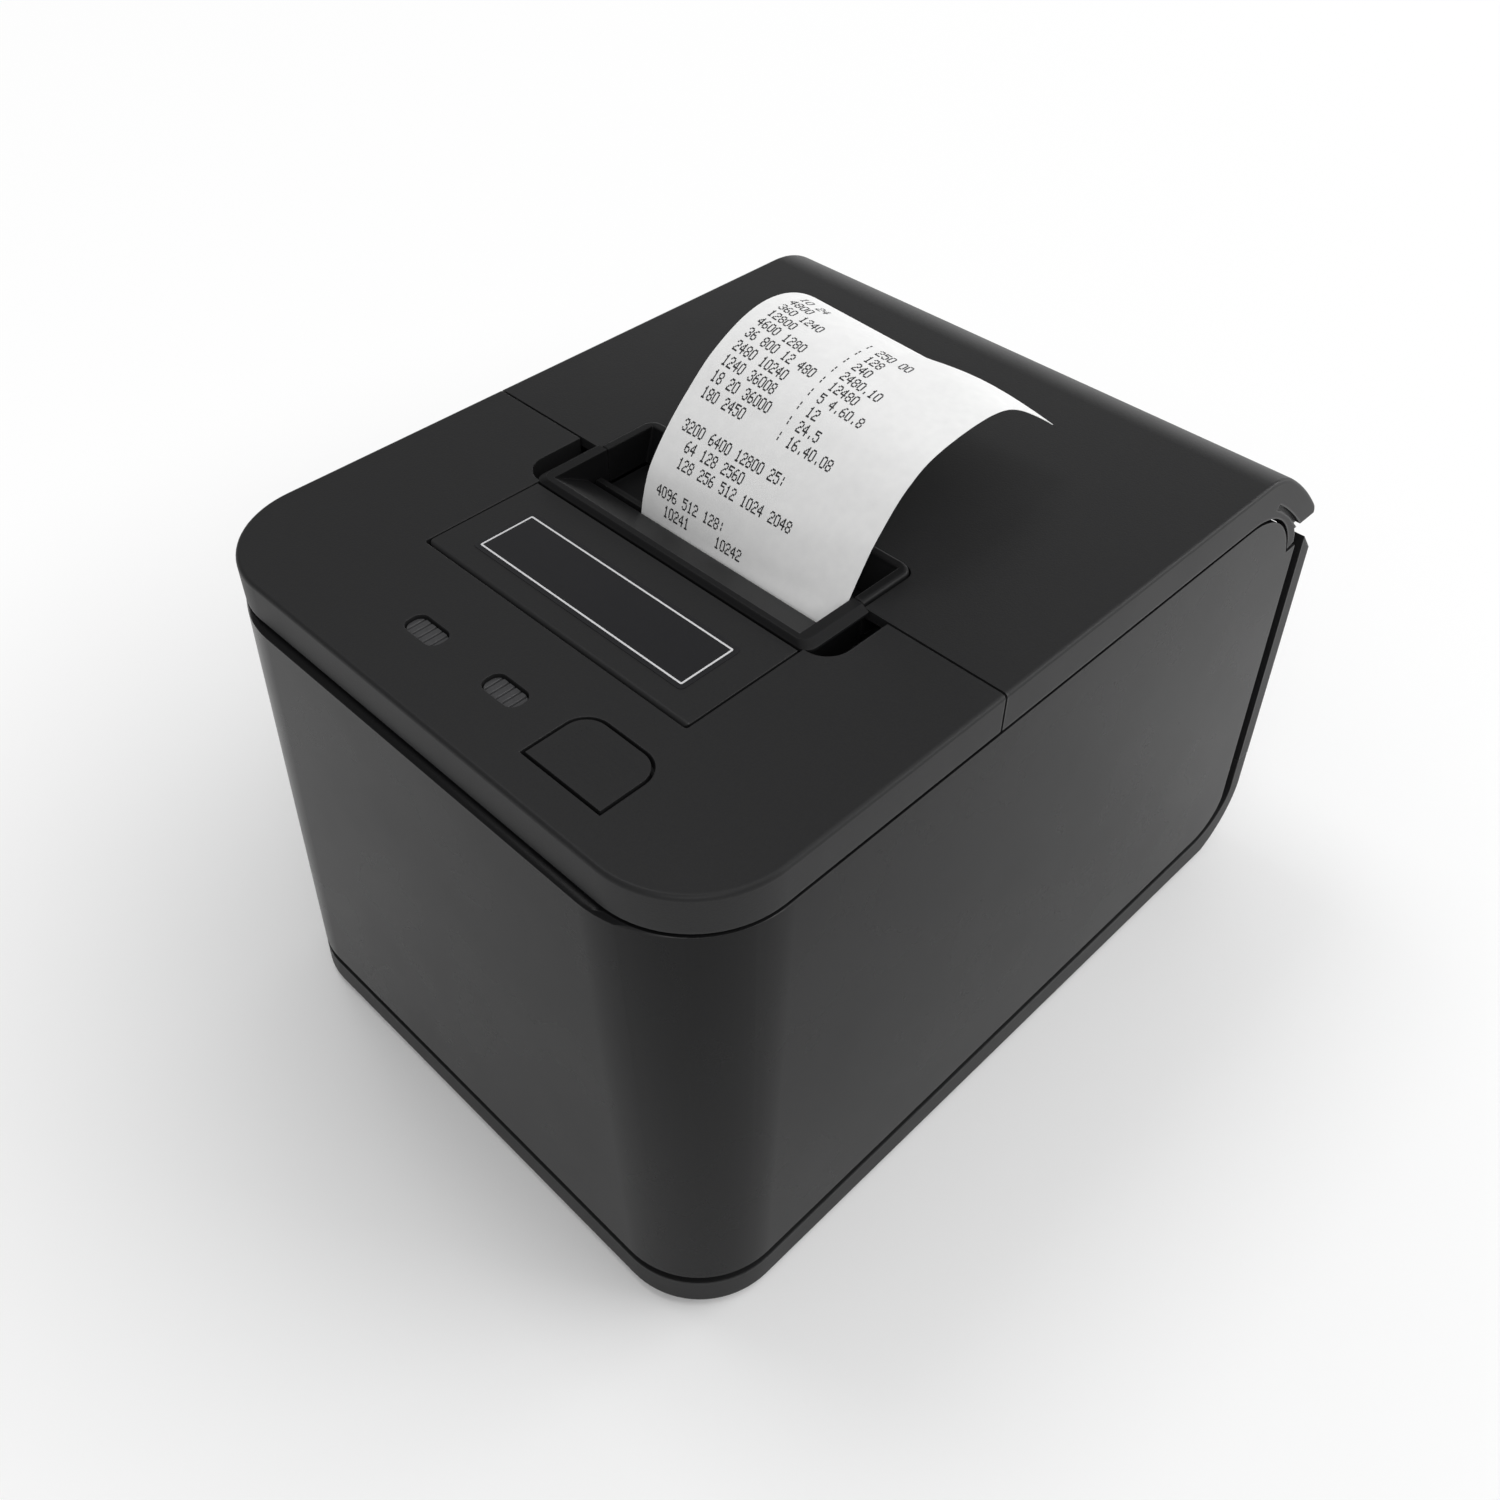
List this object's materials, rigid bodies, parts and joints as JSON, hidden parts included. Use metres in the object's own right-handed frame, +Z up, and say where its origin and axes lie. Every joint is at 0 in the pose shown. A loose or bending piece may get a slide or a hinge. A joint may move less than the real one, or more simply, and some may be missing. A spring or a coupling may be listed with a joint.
{
  "type": "receipt printer",
  "caption": "Desktop receipt printer: rounded dark casing with a hinged paper cover, paper slot with a curled strip, cutter flap, indicator windows and a feed button.",
  "frame": {"origin": "under the middle of the printer, on the surface its feet stand on", "axes": "+Z up, +X to the printer's right, -Y towards the front with the feed button, +Y to the rear"},
  "size_m": [0.156, 0.2116, 0.1678],
  "materials": {
    "casing_matt": "fine-grained charcoal",
    "casing_satin": "satin charcoal",
    "slot_gloss": "glossy black",
    "lens": "smoked",
    "grey_plastic": "moulded grey",
    "white_plastic": "moulded white",
    "paper": "white thermal paper",
    "card": "brown card",
    "steel": "bright rolled",
    "aluminium": "plain",
    "rubber": "matt black",
    "board": "green circuit board"
  },
  "bodies": {
    "casing": {"base_tray": "casing_matt", "foot_front_left": "rubber", "foot_front_right": "rubber", "foot_rear_left": "rubber", "foot_rear_right": "rubber", "base_screw_front_left": "steel", "base_screw_front_right": "steel", "base_screw_rear_left": "steel", "base_screw_rear_right": "steel", "body_shell": "casing_satin", "rear_panel": "casing_matt", "hinge_pin_left": "steel", "hinge_pin_right": "steel", "control_board": "board", "power_inlet": "slot_gloss", "data_socket": "steel", "drawer_socket": "casing_matt", "switch_housing": "slot_gloss", "top_panel": "casing_matt", "power_lens": "lens", "error_lens": "lens", "button_board": "board", "slot_lip": "slot_gloss", "mechanism_frame": "steel", "platen_bush_left": "white_plastic", "platen_bush_right": "white_plastic", "head_pivot": "steel", "head_spring": "steel", "paper_bucket": "casing_matt", "paper_guide": "grey_plastic", "paper_web": "paper", "cutter_bed": "grey_plastic", "cutter_motor": "steel", "feed_motor": "steel", "idler_pin": "steel"},
    "cover": {"paper_cover": "casing_matt", "slot_frame": "slot_gloss", "blade_holder": "slot_gloss", "fixed_blade": "steel", "holder_screw_left": "steel", "holder_screw_right": "steel", "receipt": "paper"},
    "flap": {"cutter_flap": "casing_matt"},
    "button": {"feed_button": "casing_matt"},
    "head": {"heat_sink": "aluminium", "print_head": "white_plastic"},
    "roll": {"paper_roll": "paper", "roll_core": "card"},
    "platen": {"platen_shaft": "steel", "platen_rubber": "rubber", "platen_gear": "white_plastic"},
    "idler": {"idler_gear": "white_plastic"},
    "pinion": {"motor_pinion": "steel"},
    "blade": {"moving_blade": "steel"},
    "cutter_drive": {"cutter_gear": "white_plastic"},
    "rocker": {"power_rocker": "slot_gloss"}
  },
  "joints": [
    {"name": "cover_hinge", "type": "hinge", "parent": "casing", "child": "cover", "pos_m": [0, 0.09943, 0.11418], "axis": [-1, 0, 0], "range_deg": [0, 90]},
    {"name": "flap_hinge", "type": "hinge", "parent": "casing", "child": "flap", "pos_m": [0, -0.06755, 0.1348], "axis": [1, 0, 0], "range_deg": [0, 100]},
    {"name": "button_press", "type": "slide", "parent": "casing", "child": "button", "axis": [0, 0, -1], "range_m": [0, 0.0008], "stiffness_N_per_m": 800},
    {"name": "head_rock", "type": "hinge", "parent": "casing", "child": "head", "pos_m": [0, -0.03145, 0.1], "axis": [1, 0, 0], "range_deg": [0, 2], "stiffness_Nm_per_rad": 8},
    {"name": "roll_spin", "type": "hinge", "parent": "casing", "child": "roll", "pos_m": [0.0081, 0.03675, 0.0486], "axis": [1, 0, 0], "continuous": true},
    {"name": "platen_spin", "type": "hinge", "parent": "casing", "child": "platen", "pos_m": [0, -0.01985, 0.111], "axis": [1, 0, 0], "continuous": true},
    {"name": "idler_spin", "type": "hinge", "parent": "casing", "child": "idler", "pos_m": [-0.05045, -0.01985, 0.084], "axis": [1, 0, 0], "continuous": true},
    {"name": "pinion_spin", "type": "hinge", "parent": "casing", "child": "pinion", "pos_m": [-0.05045, -0.03977, 0.0725], "axis": [1, 0, 0], "continuous": true},
    {"name": "blade_slide", "type": "slide", "parent": "casing", "child": "blade", "axis": [0, 1, 0], "range_m": [0, 0.007]},
    {"name": "cutter_gear_spin", "type": "hinge", "parent": "casing", "child": "cutter_drive", "pos_m": [0.02, -0.05025, 0.1233], "axis": [0, 0, -1], "range_deg": [0, 75]},
    {"name": "rocker_tip", "type": "hinge", "parent": "casing", "child": "rocker", "pos_m": [0.046, 0.10125, 0.058], "axis": [1, 0, 0], "range_deg": [-8, 8]}
  ],
  "couplings": [
    {"joint": "platen_spin", "follows": "roll_spin", "ratio": 5.8462},
    {"joint": "idler_spin", "follows": "roll_spin", "ratio": -2.9231},
    {"joint": "pinion_spin", "follows": "roll_spin", "ratio": 10.523},
    {"joint": "cutter_gear_spin", "follows": "blade_slide", "rad_per_m": 166.67}
  ]
}
